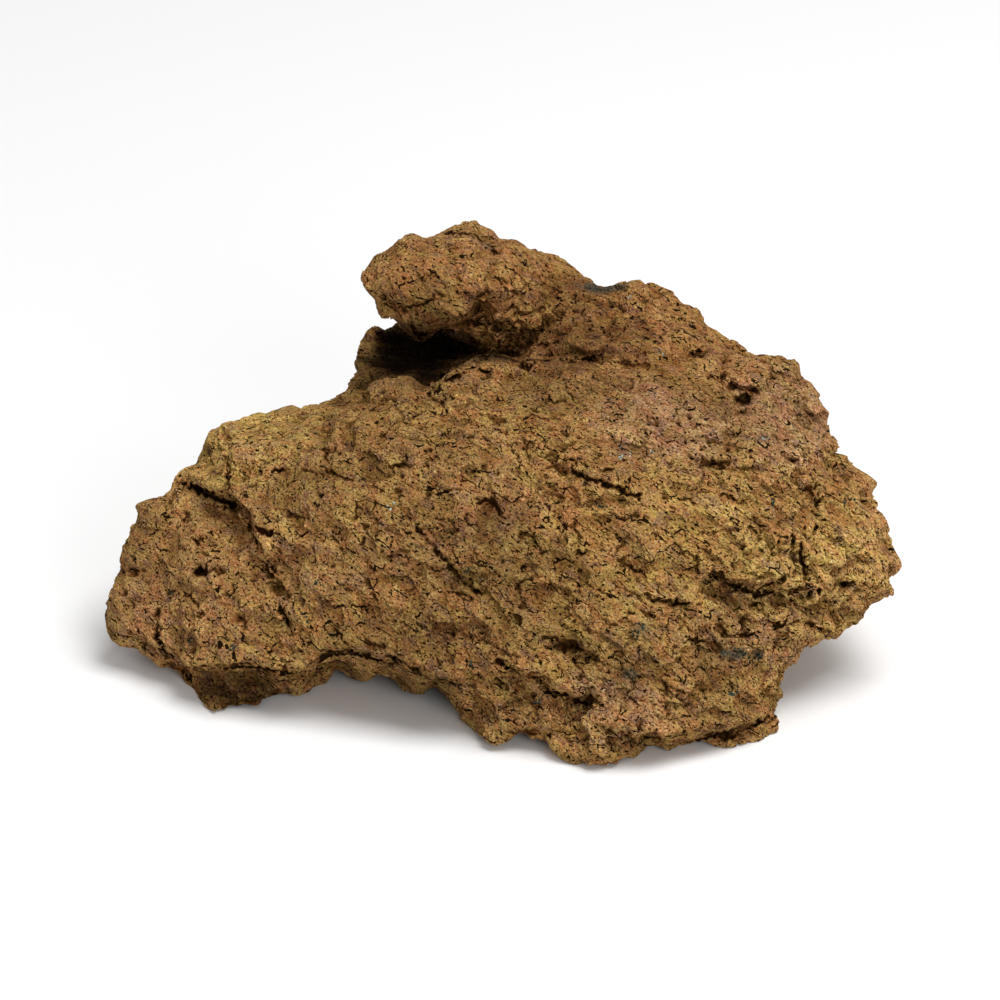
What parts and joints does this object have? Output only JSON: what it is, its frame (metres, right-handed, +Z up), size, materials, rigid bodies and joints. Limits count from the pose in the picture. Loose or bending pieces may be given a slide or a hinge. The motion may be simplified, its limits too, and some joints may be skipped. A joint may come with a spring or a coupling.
{
  "type": "lava rock",
  "caption": "Loose lump of brown porous volcanic rock with ragged plates, pits and a thick horn over a dark hollow, standing level on its own feet.",
  "frame": {"origin": "middle of the stone's bounding box, on the ground that its feet stand on", "axes": "+X along the longest extent, to the right when the big rough face is seen; +Y away from that face, to the back; +Z up"},
  "size_m": [0.1992, 0.1462, 0.0976],
  "materials": {
    "scoria": "dull, rough and finely porous, rusty brown to yellow ochre"
  },
  "bodies": {
    "root": {"lava_rock": "scoria"}
  },
  "joints": []
}
